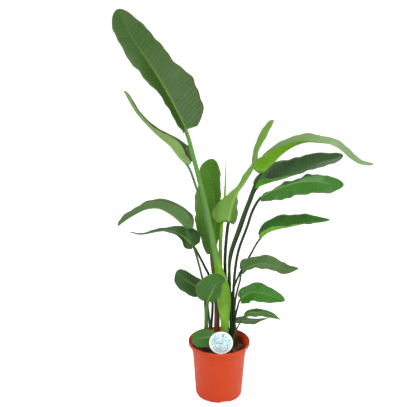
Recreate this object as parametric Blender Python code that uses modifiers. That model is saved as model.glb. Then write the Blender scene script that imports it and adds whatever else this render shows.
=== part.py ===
"""Giant bird of paradise (Strelitzia nicolai) in a round nursery pot, with its potting soil and a plant label.

Metres, +Z up. The origin is the middle of the pot's underside, and the plant's front looks along -Y.
Each leaf is one piece, as it grows: a sheathed root end in the soil, a stalk, and a blade with a midrib.
"""

import math

import bmesh
import bpy
import numpy as np

CM = 0.01
MM = 0.001

# Pot: injection moulded, 24 cm across the rim, with a hanging lip, a collar, and a floor raised on a foot ring
# and a centre foot.
# Each profile runs (radius, height) in millimetres.
POT_INSIDE = [(0, 9.5), (86.5, 9.5), (89.8, 12.8), (101.5, 178), (103.7, 182), (104.9, 205)]
POT_LIP = [(108, 211.5), (115.6, 217.5), (117.8, 223.8), (118.6, 225), (119.4, 225), (120, 224.2), (120, 213),
           (118, 213), (117.6, 216), (109.6, 209.4)]
POT_OUTSIDE = [(106.9, 204), (105.8, 182), (103.5, 178), (91.5, 8), (90.6, 4.5), (88.8, 0.8), (88, 0), (82, 0),
               (80.5, 7), (14, 7), (13, 0), (0, 0)]
TURN_STEPS = 48
DRAIN_SLOTS = 4
DRAIN_SLOT_SIZE = (24 * MM, 32 * MM, 12 * MM)
DRAIN_SLOT_RADIUS = 88 * MM
FIRST_SLOT_ANGLE = math.radians(-76)
DRAIN_HOLES = 6
DRAIN_HOLE_RADIUS = 5 * MM
DRAIN_HOLE_CIRCLE = 55 * MM
FLOOR_Z = 8 * MM

# Soil: fills the pot to 3 cm under the rim and rises a little round the stalks.
SOIL_PROFILE = [(0, 200), (50, 199), (85, 195), (103.8, 191), (103.35, 182.1), (101.1, 178), (89.45, 13),
                (86.3, 9.85), (0, 9.85)]
GAP = 0.35 * MM
SOCKET_TOP = 225 * MM

# Label: a round tag with a flat stake, standing in the soil behind the front rim.
LABEL_RADIUS = 45 * MM
LABEL_THICKNESS = 0.8 * MM
LABEL_CENTRE = (5 * MM, -90 * MM, 257 * MM)
STAKE_HALF_WIDTH = 7 * MM
STAKE_LENGTH = 117 * MM
STAKE_POINT = 15 * MM
LABEL_STEPS = 33
LABEL_LEAN = math.radians(4)

# Leaves: how finely each is faceted, and the thickness of every blade.
STALK_STATIONS = 8
BLADE_STATIONS = (0.0, 0.03, 0.09, 0.18, 0.30, 0.43, 0.57, 0.70, 0.82, 0.92, 1.0)
RING = (0.0, 0.36, 0.68, 1.0)
BLADE_HALF_THICKNESS = 0.6 * MM
SHEATH_WRAP = -0.3
ROOT_Z = 16.5

# One entry for each leaf, in centimetres and degrees.
#   stalk    centreline from the root end to the foot of the blade
#   blade    midrib from there to the tip
#   radius   half width of the stalk at its root end and at the foot of the blade
#   left     half width of the blade's left half, as seen from above with the tip away, at WIDTHS_AT of its length
#   right    the same for the right half
#   facing   the way the upper side looks at the foot, in the middle and at the tip
#   fold     how far the left and right halves are raised from flat, at the foot, in the middle and at the tip
#   lobes    how far the blade's round foot hangs back past its joint with the stalk
#   sheath   an open sheath round the stalk: its half width, and the height where it is widest
WIDTHS_AT = (0, 0.095, 0.273, 0.5, 0.727, 0.905, 1)
LEAVES = {
    "leaf_tall": dict(
        stalk=[(2.3, -0.4, ROOT_Z), (2.3, -0.4, 24), (1.5, -1.2, 42), (-1.9, -2.4, 60.5), (-5.2, -3.2, 77.4),
               (-9.6, -4.2, 95.5), (-12.6, -4.8, 106.5)],
        blade=[(-16.2, -4.6, 114), (-21.9, -3.4, 124.4), (-27.4, -1.4, 132.6), (-32.7, 1.6, 140.4),
               (-36.4, 3.0, 147.8)],
        radius=(1.5, 0.7), left=(5.5, 5.5, 8.4, 6.6, 4.6), right=(8.6, 10.4, 7.6, 6.6, 4.2), facing=[(0.1, -0.95, 0.3)] * 3,
        fold=[(65, 5), (48, 5), (15, 5)], lobes=1.6, sheath=(3.2, 42)),
    "leaf_narrow_left": dict(
        stalk=[(1.3, 2.2, ROOT_Z), (1.3, 2.2, 24), (0.6, 1.6, 42), (-0.9, 1.1, 50), (-2.6, 1.0, 58),
               (-4.3, 2.6, 66), (-6.6, 4.2, 75), (-9.4, 5.0, 84.5), (-12.5, 5.0, 92.0)],
        blade=[(-14.9, 5.0, 94.5), (-18.8, 4.6, 99.5), (-22.0, 4.2, 102.2), (-26.7, 3.6, 106.9),
               (-30.4, 3.0, 111.3), (-33.1, 2.4, 115.9), (-34.9, 2.0, 119.6)],
        radius=(0.55, 0.55), left=(2.8, 3.6, 1.4, 1.1, 1.4), right=(5.4, 3.8, 1.8, 1.3, 1.4),
        facing=[(0.65, 0.0, 0.75)] * 3, fold=[(70, 80), (70, 80), (50, 60)], lobes=2),
    "leaf_centre": dict(
        stalk=[(-0.9, 2.2, ROOT_Z), (-0.9, 2.2, 24), (-1.0, 2.3, 38), (-1.5, 2.9, 44), (-2.2, 3.8, 49),
               (-3.0, 5.4, 56.2)],
        blade=[(-1.9, 6.6, 64), (-1.5, 7.8, 72.2), (-1.9, 8.4, 76), (-2.6, 9.0, 82.6), (-3.4, 8.6, 89),
               (-2.4, 7.0, 93.6)],
        radius=(1.3, 0.7), left=(3.9, 7.2, 7.9, 5.6, 3.6), right=(2.6, 3.8, 4.6, 4.6, 4.2),
        facing=[(-0.1, -0.95, 0.1)] * 3, fold=[(10, 50), (5, 55), (5, 20)], lobes=1),
    "leaf_spear": dict(
        stalk=[(1.5, 4.0, ROOT_Z), (1.5, 4.0, 24), (1.0, 3.3, 42), (0.3, 2.2, 58), (0.6, 2.4, 68)],
        blade=[(1.5, 3.7, 76), (2.1, 4.8, 86), (2.2, 5.2, 95)],
        radius=(0.8, 0.7), left=(0, 0, 0, 0, 0), right=(0, 0, 0, 0, 0), facing=[(0, -1, 0)] * 3,
        fold=[(0, 0), (0, 0), (0, 0)], lobes=0),
    "leaf_upright_right": dict(
        stalk=[(3.5, 3.0, ROOT_Z), (3.5, 3.0, 24), (2.7, 2.8, 42), (2.1, 2.0, 56), (2.4, 1.4, 62.5),
               (3.2, 1.0, 70.5)],
        blade=[(5.6, 1.8, 80.4), (9.1, 3.4, 85.2), (12.8, 5.6, 91.2), (14.2, 7.2, 96.2), (16.2, 8.4, 100.2),
               (18.4, 9.2, 104.4), (20.1, 9.6, 107.9)],
        radius=(0.65, 0.6), left=(5, 4, 3.6, 3.2, 2.8), right=(7.4, 2.4, 3.2, 3.2, 2.8),
        facing=[(0.2, 0.95, 0.2), (0.1, 0.9, 0.3), (-0.1, 0.9, 0.3)], fold=[(50, -5), (76, 72), (55, 50)], lobes=2.5),
    "leaf_arching_right": dict(
        stalk=[(4.8, 1.4, ROOT_Z), (4.8, 1.4, 24), (4.0, 1.2, 45), (4.0, 0.6, 58.2), (6.5, 0, 67),
               (10.0, 0, 77.4), (15.4, 0, 90)],
        blade=[(18.4, -1, 93.4), (23.2, -2, 98.3), (27.4, -3, 101), (30.2, -3.6, 102), (35.8, -4, 101.9),
               (40.3, -4, 101.1), (43.7, -4.4, 99.2), (46.8, -5, 96.8), (50.2, -5.6, 94.8), (54.7, -6, 94.3)],
        radius=(0.75, 0.65), left=(4.8, 4.4, 3.6, 2.8, 1.6), right=(6.6, 5.4, 3.2, 2.4, 1.4),
        facing=[(-0.7, -0.1, 0.7), (0.0, -0.4, 0.9), (0.2, -0.5, 0.8)], fold=[(50, 75), (15, 35), (0, 5)], lobes=2),
    "leaf_grey_right": dict(
        stalk=[(3.3, 5.0, ROOT_Z), (3.3, 5.0, 24), (3.6, 4.6, 42), (4.6, 4.6, 56), (8.2, 5, 67), (11.6, 5, 77.4),
               (14.1, 5, 83)],
        blade=[(18, 4.6, 85), (24.2, 3.8, 87), (30.8, 3.2, 90), (37.4, 3, 93.2), (41.8, 3, 94.4), (45.4, 3, 95.8)],
        radius=(0.6, 0.5), left=(4.6, 7, 6.2, 4.4, 2.6), right=(3.2, 3.6, 4, 3.6, 2.4),
        facing=[(-0.25, -0.7, 0.7)] * 3, fold=[(20, 100), (10, 50), (5, 10)], lobes=1.5),
    "leaf_wavy_right": dict(
        stalk=[(5.3, 3.0, ROOT_Z), (5.3, 3.0, 24), (4.8, 2.4, 42), (5.6, 2.0, 50), (7.5, 1.8, 60.1),
               (10.4, 1, 69.1), (12.2, 0, 75.5), (14.9, -0.6, 80.4)],
        blade=[(19.2, -1.6, 83.5), (24.8, -3, 86), (29.8, -4.6, 87.6), (34.4, -6, 87.9), (38.6, -7, 87.3),
               (43.9, -8, 87.2)],
        radius=(0.65, 0.5), left=(3.5, 4.5, 5, 4.6, 3), right=(3, 5.4, 5.3, 4.8, 2.6),
        facing=[(-0.1, -0.75, 0.65)] * 3, fold=[(-60, 10), (-40, 5), (0, 0)], lobes=1.5),
    "leaf_pointed_right": dict(
        stalk=[(4.8, 5.6, ROOT_Z), (4.8, 5.6, 24), (6.4, 5.6, 44), (8.1, 6.0, 48.1), (11.9, 7, 54.9),
               (16.2, 7, 62.4)],
        blade=[(18.7, 6, 64.9), (22.7, 5, 66.7), (26.7, 4, 67.8), (32.5, 3, 69.5), (37.8, 2, 70.7), (41.3, 1, 71.5)],
        radius=(0.5, 0.4), left=(4, 5.4, 5.4, 3.8, 1.6), right=(2.2, 2.4, 2.3, 2, 1.2),
        facing=[(-0.3, -0.5, 0.8)] * 3, fold=[(20, 95), (10, 60), (0, 10)], lobes=1),
    "leaf_middle_right": dict(
        stalk=[(6.6, 1.6, ROOT_Z), (6.5, 1.6, 24), (5.9, 1.0, 34.4), (6.5, 0, 41.5), (7.7, -2, 48.1),
               (8.4, -4, 52.6)],
        blade=[(10.3, -5, 54.5), (13.5, -6, 56.2), (16.1, -7, 56.9), (20.1, -8, 56.3), (24, -9, 55.4),
               (28.8, -9, 55.8)],
        radius=(0.5, 0.4), left=(4.2, 4, 3.8, 3.2, 1.5), right=(1.8, 2.8, 2.8, 2.6, 1.2),
        facing=[(-0.1, -0.5, 0.85)] * 3, fold=[(10, 25), (5, 15), (0, 0)], lobes=1.5),
    "leaf_low_right": dict(
        stalk=[(5.8, -0.1, ROOT_Z), (5.8, -0.1, 24), (6.2, -0.6, 32.4), (7.0, -2, 37.4), (7.9, -4, 41.4)],
        blade=[(11.2, -6, 44.7), (13.9, -8, 46), (16.6, -9, 45.7), (20.6, -10, 44.8), (23.9, -11, 43.9)],
        radius=(0.45, 0.4), left=(3.4, 3.6, 4, 3, 1.8), right=(3, 4.2, 4, 3.2, 1.6),
        facing=[(-0.1, -0.6, 0.8)] * 3, fold=[(15, 5), (5, 0), (0, 0)], lobes=1),
    "leaf_small_upper": dict(
        stalk=[(5.4, -1.6, ROOT_Z), (5.5, -1.6, 22), (6.4, -2.0, 27.3), (7.9, -3, 31.1), (9.4, -5, 35.1)],
        blade=[(11.5, -6, 36.7), (13.8, -7, 37.2), (16.9, -8.4, 37.6), (19.7, -9.4, 37.2), (22.9, -10, 35.6)],
        radius=(0.4, 0.3), left=(1.6, 2, 2, 1.4, 0.5), right=(1.4, 2, 2, 1.4, 0.5),
        facing=[(-0.1, -0.4, 0.9)] * 3, fold=[(10, 10), (0, 0), (0, 0)], lobes=0.6),
    "leaf_small_lower": dict(
        stalk=[(4.2, 7.0, ROOT_Z), (4.7, 7.0, 23), (5.8, 7.0, 26), (6.9, 7.0, 27)],
        blade=[(8.6, 7.4, 27.2), (11, 8, 26.9), (14.5, 9, 26.5), (18, 10.6, 26.4), (20.8, 12, 26.4)],
        radius=(0.35, 0.3), left=(2, 2.4, 1.8, 0.9, 0.4), right=(2, 2.4, 1.8, 0.9, 0.4),
        facing=[(-0.1, -0.3, 0.95)] * 3, fold=[(10, 10), (0, 0), (0, 0)], lobes=0.6),
    "leaf_arching_left": dict(
        stalk=[(-3.3, 1.0, ROOT_Z), (-3.4, 0.9, 24), (-4.6, 0.2, 37.3), (-7.2, -2.4, 51.9), (-9.7, -4.4, 62),
               (-11.9, -5, 68), (-13.0, -5, 70.6)],
        blade=[(-14.8, -5, 72.6), (-17.9, -4.4, 75.1), (-23.1, -3.4, 77.3), (-26.8, -2.8, 76.9),
               (-31.3, -1.8, 74.6), (-35.8, -1.2, 71.5), (-38, -1, 69.7)],
        radius=(0.6, 0.5), left=(4.8, 4.4, 3.4, 2.8, 2.6), right=(5.4, 5, 3.6, 2.8, 2.4),
        facing=[(0.7, 0.0, 0.7), (0, 0, 1), (-0.6, 0.0, 0.8)], fold=[(70, 55), (60, 45), (45, 40)], lobes=3),
    "leaf_twisted_left": dict(
        stalk=[(-3.1, 3.5, ROOT_Z), (-3.1, 3.5, 24), (-2.6, 3.0, 38), (-3.6, 2.2, 47.7), (-5.7, 1.4, 52.6),
               (-7.7, 0.8, 57), (-9.8, 0, 61.2)],
        blade=[(-13.3, -1.2, 65.2), (-17.8, -2.4, 68), (-22, -2.8, 68.3), (-26, -3, 67.6), (-29.7, -3, 67),
               (-33.9, -3, 68)],
        radius=(0.55, 0.45), left=(2.8, 3, 3, 2.4, 1.4), right=(5, 4.2, 3, 2.4, 1.4),
        facing=[(0, -0.9, 0.3), (0, 0, 1), (0, 0.1, 1)], fold=[(5, 5), (10, 10), (5, 5)], lobes=0.8),
    "leaf_low_left": dict(
        stalk=[(-5.4, 2.6, ROOT_Z), (-5.4, 2.6, 24), (-5.5, 1.8, 36.4), (-6.3, 0.8, 43)],
        blade=[(-10.6, -0.4, 46.2), (-14, -1.6, 49.2), (-16.7, -2.6, 51.8)],
        radius=(0.55, 0.45), left=(3.4, 4.4, 4.8, 4.6, 3.2), right=(3, 3.3, 3.5, 3.4, 2.4),
        facing=[(0, -0.7, 0.7)] * 3, fold=[(5, 5), (0, 0), (0, 0)], lobes=0.8),
    "leaf_front": dict(
        stalk=[(-4.9, -0.6, ROOT_Z), (-4.9, -0.6, 24), (-5.0, -1.6, 34.8), (-4.4, -3, 40.4)],
        blade=[(-2.9, -5, 44.8), (-1.5, -6.5, 48.4), (-0.1, -7.5, 50.1), (2.0, -8.5, 50.9)],
        radius=(0.95, 0.6), left=(4.4, 6.4, 6.4, 4.6, 2.2), right=(2.4, 3.2, 3.4, 2.6, 1.4),
        facing=[(0.1, -0.9, 0.4)] * 3, fold=[(5, 20), (0, 20), (0, 10)], lobes=1),
    "leaf_on_soil": dict(
        stalk=[(-1.6, -3.2, ROOT_Z), (-1.6, -3.2, 22), (-1.9, -4.2, 25.6)],
        blade=[(-4.6, -4.6, 26.0), (-7.6, -4.7, 25.5), (-10.7, -4.4, 24.6)],
        radius=(0.4, 0.35), left=(3.4, 4.2, 4.2, 3.4, 2.2), right=(2.8, 3.4, 3.4, 3, 2.2),
        facing=[(0, -0.7, 0.7)] * 3, fold=[(5, 5), (0, 0), (0, 0)], lobes=0.5),
}
FINE = 24


def spline(points):
    """A smooth curve through the given points, FINE steps to each stretch: cubic pieces whose slope at a point
    is the distance-weighted mean of the slopes on its two sides."""
    p = np.array(points, float) * CM
    knots = np.concatenate([[0], np.cumsum(np.linalg.norm(np.diff(p, axis=0), axis=1))])
    slope = np.gradient(p, knots, axis=0)
    t = np.append((np.arange(FINE * (len(p) - 1)) / FINE), len(p) - 1)
    k = np.minimum(t.astype(int), len(p) - 2)
    x = (t - k)[:, None]
    h = np.diff(knots)[k][:, None]
    return ((1 + 2 * x) * (1 - x) ** 2 * p[k] + x * (1 - x) ** 2 * h * slope[k]
            + x * x * (3 - 2 * x) * p[k + 1] + x * x * (x - 1) * h * slope[k + 1])


def unit(vectors):
    return vectors / np.linalg.norm(vectors, axis=-1, keepdims=True)


def columns(table, at, values):
    """Each column of values, given at the points table, read at the points at."""
    return np.stack([np.interp(at, table, column) for column in np.array(values, float).T], axis=-1)


def leaf_rings(leaf, grow=0.0, top_z=None):
    """Rings of points round the leaf, from its root end to its tip, each ring in one plane across the leaf.

    Across the leaf, a point lies at distance d from the midrib along a half that leaves it at the fold angle and
    bends up by the curl, and half the thickness off it: an ellipse on the stalk, which widens into the blade.
    grow adds to the radius, and top_z keeps only the rings below that height: together they give a socket."""
    line = spline(leaf["stalk"] + leaf["blade"])
    run = np.concatenate([[0], np.cumsum(np.linalg.norm(np.diff(line, axis=0), axis=1))])
    foot = run[FINE * (len(leaf["stalk"]) - 1)]
    s = np.concatenate([np.linspace(0, foot, STALK_STATIONS, endpoint=False),
                        foot + np.array(BLADE_STATIONS) * (run[-1] - foot)])
    centre = columns(run, s, line)
    along = unit(columns(run, s, np.gradient(line, run, axis=0)))
    t = np.clip((s - foot) / (run[-1] - foot), 0, 1)
    facing = columns((0, 0.5, 1), t, unit(np.array(leaf["facing"], float)))
    up = unit(facing - along * (facing * along).sum(1, keepdims=True))
    right = np.cross(along, up)

    core = np.interp(s, (0, foot, run[-1]), (leaf["radius"][0], leaf["radius"][1], 0.1)) * CM
    sheath, sheath_z = leaf.get("sheath", (0, 0))
    opened = np.exp(-((centre[:, 2] / CM - sheath_z) / 9) ** 2) * max(0, sheath * CM - core[0]) / CM
    blade = np.clip(t / 0.03, 0, 1)
    top = np.array([*(-v for v in reversed(RING[1:])), *RING])
    v = np.concatenate([top, top[-2:0:-1]])
    over = np.concatenate([np.ones(len(top)), -np.ones(len(top) - 2)])
    side = (v > 0).astype(int)
    share = np.clip((np.abs(v) - RING[1]) / (1 - RING[1]), 0, 1)
    reach = np.sin(np.abs(v) * math.pi / 2)

    round_t = np.arccos(1 - 2 * t)
    outline = columns(np.arccos(1 - 2 * np.array(WIDTHS_AT)), round_t, [(0, 0), *zip(leaf["left"], leaf["right"]),
                                                                        (0, 0)])
    half = np.maximum(outline[:, side] * CM, core[:, None]) + opened[:, None] * CM
    d = core[:, None] * reach + (half - core[:, None]) * share
    fold = np.radians(columns((0, 0.5, 1), t, leaf["fold"]))[:, side] * blade[:, None]
    curl = opened[:, None] * SHEATH_WRAP
    bend = fold + curl * d / half / 2
    across = d * np.sinc(curl * d / half / 2 / math.pi)
    x = np.sign(v) * across * np.cos(bend)
    y = across * np.sin(bend)

    thick = core[:, None] * 0.8 * np.sqrt(1 - reach ** 2)
    wing = np.clip(3 * share, 0, 1) * (np.abs(v) < 1) * BLADE_HALF_THICKNESS
    open_share = np.clip((half / core[:, None] - 1) * 2, 0, 1)
    thick = thick * (1 - open_share * np.clip(2 * share, 0, 1)) + open_share * wing
    thick = thick * np.where(over > 0, 1 - 0.7 * open_share, 1)
    normal = (fold + curl * d / half) * np.abs(np.sign(v))
    x = x - np.sign(v) * np.sin(normal) * thick * over
    y = y + np.cos(normal) * thick * over
    back = leaf["lobes"] * CM * share ** 2 * blade[:, None] * np.exp(-t / 0.12)[:, None]
    if grow:
        size = 1 + grow / core[:, None]
        x, y = x * size, y * size
    rings = (centre[:, None] + x[..., None] * right[:, None] + y[..., None] * up[:, None]
             - back[..., None] * along[:, None])
    return rings if top_z is None else rings[: int((centre[:, 2] < top_z).sum()) + 1]


def loft(name, rings, pointed, collection):
    """A closed body through the rings, with a flat cap at the start, and a point or a cap at the end.

    Each four-sided face is split in two. The halves of a ring split along the same diagonal as seen from one side, so
    the two walls of a thin, twisted blade stay parallel."""
    shape = bmesh.new()
    last = len(rings) - (1 if pointed else 0)
    made = [[shape.verts.new(p) for p in ring] for ring in rings[:last]]
    count = len(made[0])
    for a, b in zip(made, made[1:]):
        for i in range(count):
            j = (i + 1) % count
            split = (a[i], a[j], b[j], b[i]) if i < count // 2 else (a[j], b[j], b[i], a[i])
            shape.faces.new(split[:3])
            shape.faces.new((split[0], split[2], split[3]))
    shape.faces.new(made[0])
    if pointed:
        tip = shape.verts.new(rings[-1].mean(axis=0))
        for i in range(count):
            shape.faces.new((made[-1][i], made[-1][(i + 1) % count], tip))
    else:
        shape.faces.new(made[-1])
    bmesh.ops.recalc_face_normals(shape, faces=shape.faces)
    mesh = bpy.data.meshes.new(name)
    shape.to_mesh(mesh)
    shape.free()
    obj = bpy.data.objects.new(name, mesh)
    collection.objects.link(obj)
    return obj


def turned(name, profile, collection):
    """A turned body: the profile, in millimetres from the axis, swept once round it."""
    mesh = bpy.data.meshes.new(name)
    mesh.from_pydata([(r * MM, 0, z * MM) for r, z in profile], [(i, i + 1) for i in range(len(profile) - 1)], [])
    obj = bpy.data.objects.new(name, mesh)
    collection.objects.link(obj)
    screw = obj.modifiers.new("turn", "SCREW")
    screw.axis = "Z"
    screw.angle = 2 * math.pi
    screw.steps = TURN_STEPS
    screw.render_steps = TURN_STEPS
    screw.use_merge_vertices = True
    screw.merge_threshold = 0.00005
    screw.use_smooth_shade = False
    return obj


def cut(target, cutter):
    cutter.hide_render = True
    cutter.display_type = "WIRE"
    boolean = target.modifiers.new(cutter.name, "BOOLEAN")
    boolean.operation = "DIFFERENCE"
    boolean.solver = "EXACT"
    boolean.object = cutter


def primitive(name, collection, build):
    """An object in the collection whose mesh is filled by one bmesh primitive operator."""
    mesh = bpy.data.meshes.new(name)
    shape = bmesh.new()
    build(shape)
    shape.to_mesh(mesh)
    shape.free()
    obj = bpy.data.objects.new(name, mesh)
    collection.objects.link(obj)
    return obj


def paint(obj, colour, roughness):
    material = bpy.data.materials.new(obj.name)
    material.use_nodes = True
    shader = material.node_tree.nodes["Principled BSDF"]
    shader.inputs["Base Color"].default_value = (*colour, 1)
    shader.inputs["Roughness"].default_value = roughness
    obj.data.materials.append(material)


for old in list(bpy.data.objects):
    bpy.data.objects.remove(old, do_unlink=True)
plant = bpy.data.collections.new("bird_of_paradise_pot")
cutters = bpy.data.collections.new("cutters")
bpy.context.scene.collection.children.link(plant)
bpy.context.scene.collection.children.link(cutters)

# Pot: one moulding. The slots through the foot ring let water run out from under the raised floor.
pot = turned("pot", POT_INSIDE + POT_LIP + POT_OUTSIDE, plant)
for i in range(DRAIN_SLOTS):
    angle = FIRST_SLOT_ANGLE + i * 2 * math.pi / DRAIN_SLOTS
    slot = primitive(f"drain_slot_{i + 1}", cutters, lambda shape: bmesh.ops.create_cube(shape, size=1))
    slot.scale = DRAIN_SLOT_SIZE
    slot.rotation_euler.z = angle
    slot.location = (DRAIN_SLOT_RADIUS * math.cos(angle), DRAIN_SLOT_RADIUS * math.sin(angle), 0)
    cut(pot, slot)
for i in range(DRAIN_HOLES):
    angle = i * 2 * math.pi / DRAIN_HOLES
    hole = primitive(f"drain_hole_{i + 1}", cutters, lambda shape: bmesh.ops.create_cone(
        shape, segments=16, radius1=DRAIN_HOLE_RADIUS, radius2=DRAIN_HOLE_RADIUS, depth=4 * FLOOR_Z, cap_ends=True))
    hole.location = (DRAIN_HOLE_CIRCLE * math.cos(angle), DRAIN_HOLE_CIRCLE * math.sin(angle), 0)
    cut(pot, hole)
paint(pot, (0.70, 0.09, 0.025), 0.45)

# Soil: a turned body with a socket for each root end and a slit for the label's stake.
soil = turned("soil", SOIL_PROFILE, plant)
for name, leaf in LEAVES.items():
    rings = leaf_rings(leaf, grow=GAP, top_z=SOCKET_TOP)
    rings[0, :, 2] -= GAP
    cut(soil, loft(f"socket_{name}", rings, False, cutters))
paint(soil, (0.03, 0.018, 0.011), 0.95)

# Leaves.
for name, leaf in LEAVES.items():
    paint(loft(name, leaf_rings(leaf), True, plant), (0.07, 0.16, 0.035), 0.4)

# Label: a disc and its stake, die cut in one from sheet, leaning back. The stake runs down from the disc's middle.
def upright_sheet(name, outline, half_thickness, collection):
    """A flat body standing at the label's place and lean, with the outline given across it and up it."""
    up = np.array([0, math.sin(LABEL_LEAN), math.cos(LABEL_LEAN)])
    through = np.array([0, math.cos(LABEL_LEAN), -math.sin(LABEL_LEAN)])
    across, height = np.array(outline).T
    face = np.array(LABEL_CENTRE) + across[:, None] * np.array([1, 0, 0]) + height[:, None] * up
    return loft(name, np.array([face - through * half_thickness, face + through * half_thickness]), False, collection)


neck = math.asin(STAKE_HALF_WIDTH / LABEL_RADIUS)
turns = np.linspace(math.pi - neck, neck - math.pi, LABEL_STEPS)
outline = [(LABEL_RADIUS * math.sin(a), LABEL_RADIUS * math.cos(a)) for a in turns]
outline += [(-STAKE_HALF_WIDTH, STAKE_POINT - STAKE_LENGTH), (0, -STAKE_LENGTH),
            (STAKE_HALF_WIDTH, STAKE_POINT - STAKE_LENGTH)]
paint(upright_sheet("label", outline, LABEL_THICKNESS / 2, plant), (0.75, 0.80, 0.80), 0.35)
slit_half, slit_foot = STAKE_HALF_WIDTH + GAP, -STAKE_LENGTH - GAP
slit = [(-slit_half, 0), (slit_half, 0), (slit_half, slit_foot), (-slit_half, slit_foot)]
cut(soil, upright_sheet("label_slit", slit, LABEL_THICKNESS / 2 + GAP, cutters))
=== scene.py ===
"""The looks of a giant bird of paradise (Strelitzia nicolai) in an orange nursery pot, with soil, bark and a label.

Metres, +Z up, origin in the middle of the pot's underside. The plant's front looks along -Y.
"""

import math

import bmesh
import bpy
import numpy as np
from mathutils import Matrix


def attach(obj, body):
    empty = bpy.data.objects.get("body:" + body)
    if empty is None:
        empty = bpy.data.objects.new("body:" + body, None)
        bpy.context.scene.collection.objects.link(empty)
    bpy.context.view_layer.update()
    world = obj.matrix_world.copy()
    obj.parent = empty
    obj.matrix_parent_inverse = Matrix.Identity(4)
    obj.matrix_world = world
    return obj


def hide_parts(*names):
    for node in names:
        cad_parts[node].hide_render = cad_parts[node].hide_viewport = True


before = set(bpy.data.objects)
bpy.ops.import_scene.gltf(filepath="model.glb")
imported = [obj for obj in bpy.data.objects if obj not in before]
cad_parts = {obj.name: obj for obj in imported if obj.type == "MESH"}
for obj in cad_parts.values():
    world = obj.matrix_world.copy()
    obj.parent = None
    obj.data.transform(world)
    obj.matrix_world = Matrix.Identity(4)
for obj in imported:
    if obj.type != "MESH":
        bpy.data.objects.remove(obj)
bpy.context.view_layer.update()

# ---------------------------------------------------------------------------------------------------------------
# Leaves. Each grows as one piece: a sheathed root end in the soil, a channelled stalk, and a leathery blade with a
# raised midrib under it and fine parallel veins that run out to a wavy margin. The blade is folded on the midrib.
#   stalk, blade   centreline from the root end to the foot of the blade, and midrib from there to the tip, in cm
#   radius         half width of the stalk at its root end and at the foot of the blade, in cm
#   left, right    half widths of the blade's two halves, as seen from above, at WIDTHS_AT of its length, in cm
#   facing         the way the upper side looks at the foot, in the middle and at the tip
#   fold           degrees that the left and right halves are raised, at the foot, in the middle and at the tip
#   lobes          how far the blade's round foot hangs back past its joint with the stalk, in cm
#   sheath         an open sheath round the stalk: its half width and the height where it is widest, in cm
CM = 0.01
MM = 0.001
rng = np.random.default_rng(7)
ROOT_Z = 16.5
WIDTHS_AT = (0, 0.095, 0.273, 0.5, 0.727, 0.905, 1)
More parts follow.
